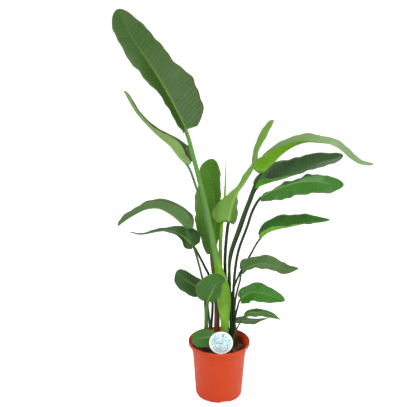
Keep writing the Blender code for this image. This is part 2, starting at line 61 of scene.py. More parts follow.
LEAVES = {
    "leaf_tall": dict(
        stalk=[(2.3, -0.4, ROOT_Z), (2.3, -0.4, 24), (1.5, -1.2, 42), (-1.9, -2.4, 60.5), (-5.2, -3.2, 77.4),
               (-9.6, -4.2, 95.5), (-12.6, -4.8, 106.5)],
        blade=[(-16.2, -4.6, 114), (-21.9, -3.4, 124.4), (-27.4, -1.4, 132.6), (-32.7, 1.6, 140.4),
               (-36.4, 3.0, 147.8)],
        radius=(1.5, 0.7), left=(5.5, 5.5, 8.4, 6.6, 4.6), right=(8.6, 10.4, 7.6, 6.6, 4.2),
        facing=[(0.1, -0.95, 0.3)] * 3, fold=[(65, 5), (48, 5), (15, 5)], lobes=1.6, sheath=(3.2, 42)),
    "leaf_narrow_left": dict(
        stalk=[(1.3, 2.2, ROOT_Z), (1.3, 2.2, 24), (0.6, 1.6, 42), (-0.9, 1.1, 50), (-2.6, 1.0, 58),
               (-4.3, 2.6, 66), (-6.6, 4.2, 75), (-9.4, 5.0, 84.5), (-12.5, 5.0, 92.0)],
        blade=[(-14.9, 5.0, 94.5), (-18.8, 4.6, 99.5), (-22.0, 4.2, 102.2), (-26.7, 3.6, 106.9),
               (-30.4, 3.0, 111.3), (-33.1, 2.4, 115.9), (-34.9, 2.0, 119.6)],
        radius=(0.55, 0.55), left=(2.8, 3.6, 1.4, 1.1, 1.4), right=(5.4, 3.8, 1.8, 1.3, 1.4),
        facing=[(0.65, 0.0, 0.75)] * 3, fold=[(70, 80), (70, 80), (50, 60)], lobes=2),
    "leaf_centre": dict(
        stalk=[(-0.9, 2.2, ROOT_Z), (-0.9, 2.2, 24), (-1.0, 2.3, 38), (-1.5, 2.9, 44), (-2.2, 3.8, 49),
               (-3.0, 5.4, 56.2)],
        blade=[(-1.9, 6.6, 64), (-1.5, 7.8, 72.2), (-1.9, 8.4, 76), (-2.6, 9.0, 82.6), (-3.4, 8.6, 89),
               (-2.4, 7.0, 93.6)],
        radius=(1.3, 0.7), left=(3.9, 7.2, 7.9, 5.6, 3.6), right=(2.6, 3.8, 4.6, 4.6, 4.2),
        facing=[(-0.1, -0.95, 0.1)] * 3, fold=[(10, 50), (5, 55), (5, 20)], lobes=1),
    "leaf_spear": dict(
        stalk=[(1.5, 4.0, ROOT_Z), (1.5, 4.0, 24), (1.0, 3.3, 42), (0.3, 2.2, 58), (0.6, 2.4, 68)],
        blade=[(1.5, 3.7, 76), (2.1, 4.8, 86), (2.2, 5.2, 95)],
        radius=(0.8, 0.7), left=(0, 0, 0, 0, 0), right=(0, 0, 0, 0, 0), facing=[(0, -1, 0)] * 3,
        fold=[(0, 0), (0, 0), (0, 0)], lobes=0),
    "leaf_upright_right": dict(
        stalk=[(3.5, 3.0, ROOT_Z), (3.5, 3.0, 24), (2.7, 2.8, 42), (2.1, 2.0, 56), (2.4, 1.4, 62.5),
               (3.2, 1.0, 70.5)],
        blade=[(5.6, 1.8, 80.4), (9.1, 3.4, 85.2), (12.8, 5.6, 91.2), (14.2, 7.2, 96.2), (16.2, 8.4, 100.2),
               (18.4, 9.2, 104.4), (20.1, 9.6, 107.9)],
        radius=(0.65, 0.6), left=(5, 4, 3.6, 3.2, 2.8), right=(7.4, 2.4, 3.2, 3.2, 2.8),
        facing=[(0.2, 0.95, 0.2), (0.1, 0.9, 0.3), (-0.1, 0.9, 0.3)], fold=[(50, -5), (76, 72), (55, 50)], lobes=2.5),
    "leaf_arching_right": dict(
        stalk=[(4.8, 1.4, ROOT_Z), (4.8, 1.4, 24), (4.0, 1.2, 45), (4.0, 0.6, 58.2), (6.5, 0, 67),
               (10.0, 0, 77.4), (15.4, 0, 90)],
        blade=[(18.4, -1, 93.4), (23.2, -2, 98.3), (27.4, -3, 101), (30.2, -3.6, 102), (35.8, -4, 101.9),
               (40.3, -4, 101.1), (43.7, -4.4, 99.2), (46.8, -5, 96.8), (50.2, -5.6, 94.8), (54.7, -6, 94.3)],
        radius=(0.75, 0.65), left=(4.8, 4.4, 3.6, 2.8, 1.6), right=(6.6, 5.4, 3.2, 2.4, 1.4),
        facing=[(-0.7, -0.1, 0.7), (0.0, -0.4, 0.9), (0.2, -0.5, 0.8)], fold=[(50, 75), (15, 35), (0, 5)], lobes=2),
    "leaf_grey_right": dict(
        stalk=[(3.3, 5.0, ROOT_Z), (3.3, 5.0, 24), (3.6, 4.6, 42), (4.6, 4.6, 56), (8.2, 5, 67), (11.6, 5, 77.4),
               (14.1, 5, 83)],
        blade=[(18, 4.6, 85), (24.2, 3.8, 87), (30.8, 3.2, 90), (37.4, 3, 93.2), (41.8, 3, 94.4), (45.4, 3, 95.8)],
        radius=(0.6, 0.5), left=(4.6, 7, 6.2, 4.4, 2.6), right=(3.2, 3.6, 4, 3.6, 2.4),
        facing=[(-0.25, -0.7, 0.7)] * 3, fold=[(20, 100), (10, 50), (5, 10)], lobes=1.5),
    "leaf_wavy_right": dict(
        stalk=[(5.3, 3.0, ROOT_Z), (5.3, 3.0, 24), (4.8, 2.4, 42), (5.6, 1.6, 18), (7.5, 1.8, 60.1),
               (10.4, 1, 69.1), (12.2, 0, 75.5), (14.9, -0.6, 80.4)],
        blade=[(19.2, -1.6, 83.5), (24.8, -3, 86), (29.8, -4.6, 87.6), (34.4, -6, 87.9), (38.6, -7, 87.3),
               (43.9, -8, 87.2)],
        radius=(0.65, 0.5), left=(3.5, 4.5, 5, 4.6, 3), right=(3, 5.4, 5.3, 4.8, 2.6),
        facing=[(-0.1, -0.75, 0.65)] * 3, fold=[(-60, 10), (-40, 5), (0, 0)], lobes=1.5),
    "leaf_pointed_right": dict(
        stalk=[(4.8, 5.6, ROOT_Z), (4.8, 5.6, 24), (6.4, 5.6, 44), (8.1, 6.0, 48.1), (11.9, 7, 54.9),
               (16.2, 7, 62.4)],
        blade=[(18.7, 6, 64.9), (22.7, 5, 66.7), (26.7, 4, 67.8), (32.5, 3, 69.5), (37.8, 2, 70.7), (41.3, 1, 71.5)],
        radius=(0.5, 0.4), left=(4, 5.4, 5.4, 3.8, 1.6), right=(2.2, 2.4, 2.3, 2, 1.2),
        facing=[(-0.3, -0.5, 0.8)] * 3, fold=[(20, 95), (10, 60), (0, 10)], lobes=1),
    "leaf_middle_right": dict(
        stalk=[(6.6, 1.6, ROOT_Z), (6.5, 1.6, 24), (5.9, 1.0, 34.4), (6.5, 0, 41.5), (7.7, -2, 48.1),
               (8.4, -4, 52.6)],
        blade=[(10.3, -5, 54.5), (13.5, -6, 56.2), (16.1, -7, 56.9), (20.1, -8, 56.3), (24, -9, 55.4),
               (28.8, -9, 55.8)],
        radius=(0.5, 0.4), left=(4.2, 4, 3.8, 3.2, 1.5), right=(1.8, 2.8, 2.8, 2.6, 1.2),
        facing=[(-0.1, -0.5, 0.85)] * 3, fold=[(10, 25), (5, 15), (0, 0)], lobes=1.5),
    "leaf_low_right": dict(
        stalk=[(5.8, -0.1, ROOT_Z), (5.8, -0.1, 24), (6.2, -0.6, 32.4), (7.0, -2, 37.4), (7.9, -4, 41.4)],
        blade=[(11.2, -6, 44.7), (13.9, -8, 46), (16.6, -9, 45.7), (20.6, -10, 44.8), (23.9, -11, 43.9)],
        radius=(0.45, 0.4), left=(3.4, 3.6, 4, 3, 1.8), right=(3, 4.2, 4, 3.2, 1.6),
        facing=[(-0.1, -0.6, 0.8)] * 3, fold=[(15, 5), (5, 0), (0, 0)], lobes=1),
    "leaf_small_upper": dict(
        stalk=[(5.4, -1.6, ROOT_Z), (5.5, -1.6, 22), (6.4, -2.0, 27.3), (7.9, -3, 31.1), (9.4, -5, 35.1)],
        blade=[(11.5, -6, 36.7), (13.8, -7, 37.2), (16.9, -8.4, 37.6), (19.7, -9.4, 37.2), (22.9, -10, 35.6)],
        radius=(0.4, 0.3), left=(1.6, 2, 2, 1.4, 0.5), right=(1.4, 2, 2, 1.4, 0.5),
        facing=[(-0.1, -0.4, 0.9)] * 3, fold=[(10, 10), (0, 0), (0, 0)], lobes=0.6),
    "leaf_small_lower": dict(
        stalk=[(4.2, 7.0, ROOT_Z), (4.7, 7.0, 23), (5.8, 7.0, 26), (6.9, 7.0, 27)],
        blade=[(8.6, 7.4, 27.2), (11, 8, 26.9), (14.5, 9, 26.5), (18, 10.6, 26.4), (20.8, 12, 26.4)],
        radius=(0.35, 0.3), left=(2, 2.4, 1.8, 0.9, 0.4), right=(2, 2.4, 1.8, 0.9, 0.4),
        facing=[(-0.1, -0.3, 0.95)] * 3, fold=[(10, 10), (0, 0), (0, 0)], lobes=0.6),
    "leaf_arching_left": dict(
        stalk=[(-3.3, 1.0, ROOT_Z), (-3.4, 0.9, 24), (-4.6, 0.2, 37.3), (-7.2, -2.4, 51.9), (-9.7, -4.4, 62),
               (-11.9, -5, 68), (-13.0, -5, 70.6)],
        blade=[(-14.8, -5, 72.6), (-17.9, -4.4, 75.1), (-23.1, -3.4, 77.3), (-26.8, -2.8, 76.9),
               (-31.3, -1.8, 74.6), (-35.8, -1.2, 71.5), (-38, -1, 69.7)],
        radius=(0.6, 0.5), left=(4.8, 4.4, 3.4, 2.8, 2.6), right=(5.4, 5, 3.6, 2.8, 2.4),
        facing=[(0.7, 0.0, 0.7), (0, 0, 1), (-0.6, 0.0, 0.8)], fold=[(70, 55), (60, 45), (45, 40)], lobes=3),
    "leaf_twisted_left": dict(
        stalk=[(-3.1, 3.5, ROOT_Z), (-3.1, 3.5, 24), (-2.6, 3.0, 38), (-3.6, 2.2, 47.7), (-5.7, 1.4, 52.6),
               (-7.7, 0.8, 57), (-9.8, 0, 61.2)],
        blade=[(-13.3, -1.2, 65.2), (-17.8, -2.4, 68), (-22, -2.8, 68.3), (-26, -3, 67.6), (-29.7, -3, 67),
               (-33.9, -3, 68)],
        radius=(0.55, 0.45), left=(2.8, 3, 3, 2.4, 1.4), right=(5, 4.2, 3, 2.4, 1.4),
        facing=[(0, -0.9, 0.3), (0, 0, 1), (0, 0.1, 1)], fold=[(5, 5), (10, 10), (5, 5)], lobes=0.8),
    "leaf_low_left": dict(
        stalk=[(-5.4, 2.6, ROOT_Z), (-5.4, 2.6, 24), (-5.5, 1.8, 36.4), (-6.3, 0.8, 43)],
        blade=[(-10.6, -0.4, 46.2), (-14, -1.6, 49.2), (-16.7, -2.6, 51.8)],
        radius=(0.55, 0.45), left=(3.4, 4.4, 4.8, 4.6, 3.2), right=(3, 3.3, 3.5, 3.4, 2.4),
        facing=[(0, -0.7, 0.7)] * 3, fold=[(5, 5), (0, 0), (0, 0)], lobes=0.8),
    "leaf_front": dict(
        stalk=[(-4.9, -0.6, ROOT_Z), (-4.9, -0.6, 24), (-5.0, -1.6, 34.8), (-4.4, -3, 40.4)],
        blade=[(-2.9, -5, 44.8), (-1.5, -6.5, 48.4), (-0.1, -7.5, 50.1), (2.0, -8.5, 50.9)],
        radius=(0.95, 0.6), left=(4.4, 6.4, 6.4, 4.6, 2.2), right=(2.4, 3.2, 3.4, 2.6, 1.4),
        facing=[(0.1, -0.9, 0.4)] * 3, fold=[(5, 20), (0, 20), (0, 10)], lobes=1),
    "leaf_on_soil": dict(
        stalk=[(-1.6, -3.2, ROOT_Z), (-1.6, -3.2, 22), (-1.9, -4.2, 25.6)],
        blade=[(-4.6, -4.6, 26.0), (-7.6, -4.7, 25.5), (-10.7, -4.4, 24.6)],
        radius=(0.4, 0.35), left=(3.4, 4.2, 4.2, 3.4, 2.2), right=(2.8, 3.4, 3.4, 3, 2.2),
        facing=[(0, -0.7, 0.7)] * 3, fold=[(5, 5), (0, 0), (0, 0)], lobes=0.5),
}

# How each leaf looks: its upper side, underside and stalk, how far its margin ripples in cm, and its slot. The bright
# yellow-green undersides are partly painted light shining through the leaf from behind.
LOOKS = {
    "leaf_tall": ("#264C08", "#4F7A20", "#5E8F3A", 0.22, "leaf_dark"),
    "leaf_narrow_left": ("#2A4A1C", "#7F9F58", "#4F7A40", 0.35, "leaf_dark"),
    "leaf_centre": ("#3F7400", "#67A00C", "#5A6A22", 0.15, "leaf_young"),
    "leaf_spear": ("#2E4418", "#2E4418", "#74B020", 0.0, "leaf_young"),
    "leaf_upright_right": ("#5A8C18", "#6E9C3C", "#22340C", 0.35, "leaf_young"),
    "leaf_arching_right": ("#6A8A50", "#6AA010", "#2A4A14", 0.2, "leaf_young"),
    "leaf_grey_right": ("#3E5F38", "#57A800", "#1C300E", 0.3, "leaf_green"),
    "leaf_wavy_right": ("#2E6A18", "#5A9428", "#203414", 0.42, "leaf_green"),
    "leaf_pointed_right": ("#246010", "#6AAA24", "#30461A", 0.28, "leaf_green"),
    "leaf_middle_right": ("#3E6030", "#5A8436", "#28481A", 0.4, "leaf_green"),
    "leaf_low_right": ("#2E6C14", "#5A8C2C", "#1C2C10", 0.35, "leaf_green"),
    "leaf_small_upper": ("#3C6428", "#5A8436", "#46602E", 0.2, "leaf_green"),
    "leaf_small_lower": ("#34522A", "#5A8436", "#2C3E1E", 0.2, "leaf_green"),
    "leaf_arching_left": ("#34542A", "#50743C", "#3C6424", 0.3, "leaf_dark"),
    "leaf_twisted_left": ("#204A12", "#607C50", "#263E14", 0.2, "leaf_dark"),
    "leaf_low_left": ("#24481A", "#527442", "#365222", 0.2, "leaf_dark"),
    "leaf_front": ("#2A6010", "#48702E", "#4E7826", 0.2, "leaf_green"),
    "leaf_on_soil": ("#2A6410", "#7AA82C", "#58782C", 0.2, "leaf_green"),
}
# Leaves whose root end is covered by an old sheath that has dried brown, and the height in cm where it ends.
DRIED = {"leaf_centre": 40, "leaf_front": 29, "leaf_low_left": 27, "leaf_arching_left": 27}
STALK_ROWS = 64
BLADE_ROWS = 110
HALF_COLUMNS = 11
BLADE_HALF_THICKNESS = 0.35 * MM
SHEATH_WRAP = -0.3
SHEATH_FADE = 9            # cm of height over which an open sheath closes round the stalk
BLADE_START = 0.02         # share of the blade's length over which the stalk opens into it
RIB_COLUMNS = 0.3          # share of the columns that lie over the midrib
TIP_HALF_WIDTH = 0.06      # cm
STALK_DEPTH = 0.8          # a stalk's depth as a share of its width
UPPER_HOLLOW = 0.75        # how far the midrib sinks on the upper side
LOBE_LENGTH = 0.12         # share of the blade's length over which the lobes at its foot fade
DRIED_FADE = 6             # cm over which a dried sheath turns green again
OUTLINE_WAVES = ((0.035, 1.9), (0.02, 0.8))    # share of the half width, and cm per radian
MARGIN_WAVES = ((1.0, 1.35), (0.5, 0.62))      # share of the ripple, and cm per radian
FINE = 24


def linear(code):
    """The linear colour, with alpha 1, of an sRGB hex code."""
    c = np.array([int(code[i:i + 2], 16) for i in (1, 3, 5)]) / 255
    return (*np.where(c <= 0.04045, c / 12.92, ((c + 0.055) / 1.055) ** 2.4), 1.0)


def node(tree, kind, settings, inputs):
    """Adds a shader node with its settings. An input is a value, or another node's output socket to link from."""
    made = tree.nodes.new(kind)
    for name, value in settings.items():
        setattr(made, name, value)
    for name, value in inputs.items():
        if isinstance(value, bpy.types.NodeSocket):
            tree.links.new(value, made.inputs[name])
        else:
            made.inputs[name].default_value = value
    return made


def blend_colour(tree, share, low, high):
    """The colour low where share is 0 and high where it is 1."""
    made = node(tree, "ShaderNodeMix", {"data_type": "RGBA"}, {0: share, 6: low, 7: high})
    return made.outputs[2]


def math_node(tree, operation, first, second=0.0):
    """The result of a Math node on first and second. MULTIPLY_ADD takes its third number on .node.inputs[2]."""
    made = node(tree, "ShaderNodeMath", {"operation": operation}, {0: first, 1: second})
    return made.outputs[0]


def finish_material(name):
    """A new material, its node tree, and the Principled shader that is wired to its output."""
    material = bpy.data.materials.new(name)
    material.use_nodes = True
    return material, material.node_tree, material.node_tree.nodes["Principled BSDF"]


def mesh_object(name, points, faces, material, smooth=True):
    """A mesh object from an array of points and a list of faces, shaded smooth unless told otherwise."""
    mesh = bpy.data.meshes.new(name)
    mesh.from_pydata(points.tolist(), [], faces)
    mesh.polygons.foreach_set("use_smooth", [smooth] * len(mesh.polygons))
    mesh.materials.append(material)
    mesh.validate()
    obj = bpy.data.objects.new(name, mesh)
    bpy.context.scene.collection.objects.link(obj)
    return obj


def grid_faces(rows, around):
    """Quads between each ring of points and the next, closed round the ring and wound the way the ring runs."""
    i, j = np.meshgrid(np.arange(rows - 1), np.arange(around), indexing="ij")
    k = (j + 1) % around
    quads = np.stack([i * around + j, i * around + k, (i + 1) * around + k, (i + 1) * around + j], axis=-1)
    return quads.reshape(-1, 4).tolist()


def smooth(at, knots, values):
    """Cubic pieces through values at knots, read at the points at. The slope at a knot is the weighted mean of its
    neighbours' slopes, so a half width or a direction changes with no corner."""
    knots, values = np.array(knots, float), np.array(values, float)
    slope = np.gradient(values, knots, axis=0)
    k = np.clip(np.searchsorted(knots, at, side="right") - 1, 0, len(knots) - 2)
    h = np.diff(knots)[k][:, None]
    x = (np.asarray(at)[:, None] - knots[k][:, None]) / h
    return ((1 + 2 * x) * (1 - x) ** 2 * values[k] + x * (1 - x) ** 2 * h * slope[k]
            + x * x * (3 - 2 * x) * values[k + 1] + x * x * (x - 1) * h * slope[k + 1])


def unit(vectors):
    return vectors / np.linalg.norm(vectors, axis=-1, keepdims=True)


def leaf_surface(name, leaf, ripple):
    """Rings of points round the leaf from root end to tip, and what its material reads there.

    Across the leaf, a point lies at distance d from the midrib along a half that leaves it at the fold angle, and
    off that half by the thickness: an ellipse on the stalk, which flattens and widens into the blade. The margin
    lifts and falls by ripple * sin(2 pi s / wavelength), more towards the edge, where s runs along the midrib."""
    through = np.array(leaf["stalk"] + leaf["blade"], float) * CM
    knots = np.concatenate([[0], np.cumsum(np.linalg.norm(np.diff(through, axis=0), axis=1))])
    fine = np.linspace(0, knots[-1], FINE * len(knots))
    line = smooth(fine, knots, through)
    run = np.concatenate([[0], np.cumsum(np.linalg.norm(np.diff(line, axis=0), axis=1))])
    foot = np.interp(knots[len(leaf["stalk"]) - 1], fine, run)
    shares = (1 - np.cos(np.linspace(0, math.pi, BLADE_ROWS))) / 2
    s = np.concatenate([np.linspace(0, foot, STALK_ROWS, endpoint=False), foot + shares * (run[-1] - foot)])
    centre = np.stack([np.interp(s, run, line[:, k]) for k in range(3)], axis=-1)
    slope = np.gradient(line, run, axis=0)
    along = unit(np.stack([np.interp(s, run, slope[:, k]) for k in range(3)], axis=-1))
    t = np.clip((s - foot) / (run[-1] - foot), 0, 1)
    facing = smooth(t, (0, 0.5, 1), unit(np.array(leaf["facing"], float)))
    up = unit(facing - along * (facing * along).sum(1, keepdims=True))
    right = np.cross(along, up)

    core = np.interp(s, (0, foot, run[-1]), (leaf["radius"][0], leaf["radius"][1], TIP_HALF_WIDTH)) * CM
    sheath, sheath_z = leaf.get("sheath", (0, 0))
    opened = np.exp(-((centre[:, 2] / CM - sheath_z) / SHEATH_FADE) ** 2) * max(0, sheath * CM - core[0])
    blade = np.clip(t / BLADE_START, 0, 1)
    across_top = np.linspace(-1, 1, 2 * HALF_COLUMNS + 1)
    v = np.concatenate([across_top, across_top[-2:0:-1]])
    over = np.concatenate([np.ones(len(across_top)), -np.ones(len(across_top) - 2)])
    side = (v > 0).astype(int)
    share = np.clip((np.abs(v) - RIB_COLUMNS) / (1 - RIB_COLUMNS), 0, 1)
    reach = np.sin(np.clip(np.abs(v) / (1 - RIB_COLUMNS), 0, 1) * math.pi / 2)

    turned_t, turned_knots = np.arccos(1 - 2 * t), np.arccos(1 - 2 * np.array(WIDTHS_AT))
    outline = smooth(turned_t, turned_knots, [(0, 0), *zip(leaf["left"], leaf["right"]), (0, 0)])
    phase = rng.uniform(0, 2 * math.pi, (3, 2))
    length = (s - foot)[:, None] / CM
    (long_share, long_wave), (short_share, short_wave) = OUTLINE_WAVES
    wobble = (1 + long_share * np.sin(length / long_wave + phase[0])
              + short_share * np.sin(length / short_wave + phase[1]))
    outline = np.maximum(outline, 0) * np.where(t[:, None] > 0, wobble, 1)
    half = np.maximum(outline[:, side] * CM, core[:, None]) + opened[:, None]
    d = core[:, None] * reach + (half - core[:, None]) * share
    fold = np.radians(smooth(t, (0, 0.5, 1), leaf["fold"]))[:, side] * blade[:, None]
    curl = opened[:, None] / CM * SHEATH_WRAP
    bend = fold + curl * d / half / 2
    x = np.sign(v) * d * np.cos(bend)
    y = d * np.sin(bend)

    ends = np.clip(t / 0.06, 0, 1) * np.clip((1 - t) / 0.08, 0, 1)
    (long_share, long_wave), (short_share, short_wave) = MARGIN_WAVES
    lift = (long_share * np.sin(length / long_wave + phase[2])[:, side]
            + short_share * np.sin(length / short_wave + phase[1])[:, side])
    lift = ripple * CM * lift * share ** 2 * (ends * half.max(axis=1) / half.max())[:, None]
    core_thick = core[:, None] * STALK_DEPTH * np.sqrt(np.maximum(1 - reach ** 2, 0))
    open_share = np.clip((half / core[:, None] - 1) * 2, 0, 1)
    wing = np.clip(4 * (1 - np.abs(v)), 0, 1) * BLADE_HALF_THICKNESS
    thick = core_thick * (1 - open_share * np.clip(2 * share, 0, 1)) + open_share * wing
    thick = thick * np.where(over > 0, 1 - UPPER_HOLLOW * open_share, 1)
    normal = (fold + curl * d / half) * np.abs(np.sign(v))
    off = thick * over + lift
    x = x - np.sign(v) * np.sin(normal) * off
    y = y + np.cos(normal) * off
    back = leaf["lobes"] * CM * share ** 2 * blade[:, None] * np.exp(-t / LOBE_LENGTH)[:, None]
    rings = (centre[:, None] + x[..., None] * right[:, None] + y[..., None] * up[:, None]
             - back[..., None] * along[:, None])
    full = np.ones_like(d)
    facts = {
        "across": np.sign(v) * d,
        "run": full * s[:, None] - back,
        "upper": full * np.maximum(over, 0),
        "lamina": np.clip((half / core[:, None] - 1) * 1.5, 0, 1) * blade[:, None],
        "rib": np.clip(1.2 - d / (core[:, None] * 0.6), 0, 1) * np.clip(1.6 - 1.5 * t, 0, 1)[:, None],
        "dried": full * np.clip((DRIED.get(name, 0) - centre[:, 2] / CM) / DRIED_FADE, 0, 1)[:, None],
        "sheathed": full * np.clip(opened * 4 / CM, 0, 1)[:, None] * np.where(t > 0, 0, 1)[:, None],
        "margin": np.clip((share - 0.93) / 0.07, 0, 1) * full,
    }
    return rings, facts


def leaf_material(name, upper, underside_and_backlight, stalk):
    """Waxy leaf: veins slant out from a pale midrib, and the underside is duller; its colour is partly painted light
    shining through the leaf from behind. Fine veins stand 5 mm apart and bundles of them 15 mm, coarser than the real
    1 to 2 mm, so that they show."""
    material, tree, shader = finish_material(name)
    fact = {key: node(tree, "ShaderNodeAttribute", {"attribute_name": key}, {}).outputs["Fac"]
            for key in ("across", "run", "upper", "lamina", "rib", "dried", "margin", "sheathed")}
    place = node(tree, "ShaderNodeTexCoord", {}, {}).outputs["Object"]
    slant = math_node(tree, "SUBTRACT", fact["run"],
                      math_node(tree, "MULTIPLY", math_node(tree, "ABSOLUTE", fact["across"]), 0.35))
    coordinate = node(tree, "ShaderNodeCombineXYZ", {}, {"X": slant, "Y": 0.0, "Z": 0.0}).outputs[0]
    veins = node(tree, "ShaderNodeTexWave", {"wave_type": "BANDS", "bands_direction": "X", "wave_profile": "SIN"},
                 {"Vector": coordinate, "Scale": 62.0, "Distortion": 0.6, "Detail": 2.0, "Detail Scale": 1.0})
    broad = node(tree, "ShaderNodeTexNoise", {}, {"Vector": place, "Scale": 9.0, "Detail": 3.0}).outputs["Fac"]
    tint = node(tree, "ShaderNodeHueSaturation", {}, {"Color": upper, "Value": 1.22, "Saturation": 0.95}).outputs[0]
    top = blend_colour(tree, broad, upper, tint)
    bundles = node(tree, "ShaderNodeTexWave", {"wave_type": "BANDS", "bands_direction": "X", "wave_profile": "SIN"},
                   {"Vector": coordinate, "Scale": 21.0, "Distortion": 1.5, "Detail": 2.0, "Detail Scale": 1.0})
    vein = math_node(tree, "MULTIPLY_ADD", bundles.outputs["Fac"], 0.8)
    tree.links.new(veins.outputs["Fac"], vein.node.inputs[2])
    vein_share = math_node(tree, "MULTIPLY", vein, 0.08)
    top = blend_colour(tree, vein_share, top, linear("#6C9440"))
    # The underside colour is partly painted light that shines through the leaf from behind.
    veined_underside_and_backlight = blend_colour(tree, vein_share, underside_and_backlight, linear("#4F7A2C"))
    lamina = blend_colour(tree, fact["upper"], veined_underside_and_backlight, top)
    lamina = blend_colour(tree, math_node(tree, "MULTIPLY", fact["rib"], 0.6), lamina, linear("#8DB84E"))
    lamina = blend_colour(tree, math_node(tree, "MULTIPLY", fact["margin"], 0.35), lamina, linear("#A9A86A"))
    streak = node(tree, "ShaderNodeMapping", {}, {"Vector": place, "Scale": (260.0, 260.0, 9.0)}).outputs[0]
    fibre = node(tree, "ShaderNodeTexNoise", {}, {"Vector": streak, "Scale": 1.0, "Detail": 3.0}).outputs["Fac"]
    shade = node(tree, "ShaderNodeHueSaturation", {}, {"Color": stalk, "Value": 0.7}).outputs[0]
    stem = blend_colour(tree, fibre, shade, stalk)
    colour = blend_colour(tree, fact["lamina"], stem, lamina)
    young_sheath = blend_colour(tree, fibre, linear("#4E8A10"), linear("#8CBE34"))
    colour = blend_colour(tree, fact["sheathed"], colour, young_sheath)
    husk = blend_colour(tree, fibre, linear("#3B2217"), linear("#8A5A3C"))
    colour = blend_colour(tree, fact["dried"], colour, husk)
    tree.links.new(colour, shader.inputs["Base Color"])
    gloss = math_node(tree, "MULTIPLY_ADD", fact["upper"], -0.17)
    gloss.node.inputs[2].default_value = 0.52
    tree.links.new(gloss, shader.inputs["Roughness"])
    shader.inputs["Specular IOR Level"].default_value = 0.3
    relief = node(tree, "ShaderNodeBump", {}, {"Strength": 0.8, "Distance": 0.0012,
                                               "Height": math_node(tree, "MULTIPLY", vein,
                                                                   fact["lamina"])})
    tree.links.new(relief.outputs[0], shader.inputs["Normal"])
    return material


for name, leaf in LEAVES.items():
    upper, underside_and_backlight, stalk, ripple, slot = LOOKS[name]
    rings, facts = leaf_surface(name, leaf, ripple)
    rows, around = rings.shape[:2]
    points = np.concatenate([rings.reshape(-1, 3), rings[-1].mean(axis=0, keepdims=True)])
    faces = [quad[::-1] for quad in grid_faces(rows, around)]
    last = (rows - 1) * around
    faces += [[last + (i + 1) % around, last + i, rows * around] for i in range(around)]
    faces.append(list(range(around)))
    finish = leaf_material(name.replace("leaf", "waxy_leaf"), linear(upper), linear(underside_and_backlight), linear(stalk))
    piece = mesh_object(name + "_grown", points, faces, finish)
    for key, values in facts.items():
        layer = piece.data.attributes.new(key, "FLOAT", "POINT")
        layer.data.foreach_set("value", np.append(values.ravel(), values[-1].mean()))
    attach(piece, "root")
    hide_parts(name)

# ---------------------------------------------------------------------------------------------------------------
# Pot: injection-moulded orange polypropylene, matte, with a hanging lip, a faint collar line and drain slots at its
# foot. The mould leaves the wall slightly silky, and the inside and underside are painted darker as shade, mottled by
# noise.
POT_INSIDE = [(0, 9.5), (86.5, 9.5), (88.7, 10.6), (89.8, 12.8), (101.5, 178), (103.7, 182), (104.9, 205)]
POT_LIP = [(108, 211.5), (115.6, 217.5), (117.8, 223.8), (118.6, 225), (119.4, 225), (120, 224.2), (120, 213),
           (119.6, 212.7), (118.3, 212.8), (118, 213.2), (117.6, 216), (109.6, 209.4)]
POT_OUTSIDE = [(106.9, 204), (105.8, 182), (105.3, 180.2), (103.8, 178.6), (103.5, 178), (91.5, 8), (90.6, 4.5),
               (88.8, 0.8), (88, 0), (82, 0), (80.5, 7), (14, 7), (13, 0), (0, 0)]
POT_STEPS = 192
DRAIN_SLOTS = 4
DRAIN_SLOT_SIZE = (24 * MM, 32 * MM, 12 * MM)
DRAIN_SLOT_RADIUS = 88 * MM
FIRST_SLOT_ANGLE = math.radians(-76)
DRAIN_HOLES = 6
DRAIN_HOLE_RADIUS = 5 * MM
DRAIN_HOLE_CIRCLE = 55 * MM


def turned(name, profile, steps, material):
    """A closed body: the profile (radius, height) in millimetres, from the axis round to the axis, turned once.
    The points on the axis are single, and the rest make rings r * (cos a, sin a)."""
    inner = np.array(profile[1:-1]) * MM
    angle = np.arange(steps) * 2 * math.pi / steps
    rings = np.stack([inner[:, :1] * np.cos(angle), inner[:, :1] * np.sin(angle),
                      np.repeat(inner[:, 1:], steps, axis=1)], axis=-1)
    ends = [(0, 0, profile[0][1] * MM), (0, 0, profile[-1][1] * MM)]
    points = np.concatenate([rings.reshape(-1, 3), ends])
    count = len(inner) * steps
    faces = [quad[::-1] for quad in grid_faces(len(inner), steps)]
    faces += [[(i + 1) % steps, i, count] for i in range(steps)]
    faces += [[count - steps + i, count - steps + (i + 1) % steps, count + 1] for i in range(steps)]
    return mesh_object(name, points, faces, material)


def outward(obj):
    """Merges doubled points and turns every face of a closed mesh outwards."""
    shape = bmesh.new()
    shape.from_mesh(obj.data)
    bmesh.ops.remove_doubles(shape, verts=shape.verts, dist=1e-6)
    bmesh.ops.recalc_face_normals(shape, faces=shape.faces)
    shape.to_mesh(obj.data)
    shape.free()


pot_finish, tree, shader = finish_material("moulded_polypropylene_orange")
place = node(tree, "ShaderNodeTexCoord", {}, {}).outputs["Object"]
cloudy = node(tree, "ShaderNodeTexNoise", {}, {"Vector": place, "Scale": 14.0, "Detail": 4.0}).outputs["Fac"]
wall = blend_colour(tree, cloudy, linear("#C23604"), linear("#CC420A"))
axes = node(tree, "ShaderNodeSeparateXYZ", {}, {"Vector": place})
flat = node(tree, "ShaderNodeCombineXYZ", {}, {"X": axes.outputs["X"], "Y": axes.outputs["Y"], "Z": 0.0}).outputs[0]
radius = node(tree, "ShaderNodeVectorMath", {"operation": "LENGTH"}, {0: flat}).outputs["Value"]
outer = math_node(tree, "MULTIPLY_ADD", axes.outputs["Z"], 0.0706)
outer.node.inputs[2].default_value = 0.0899
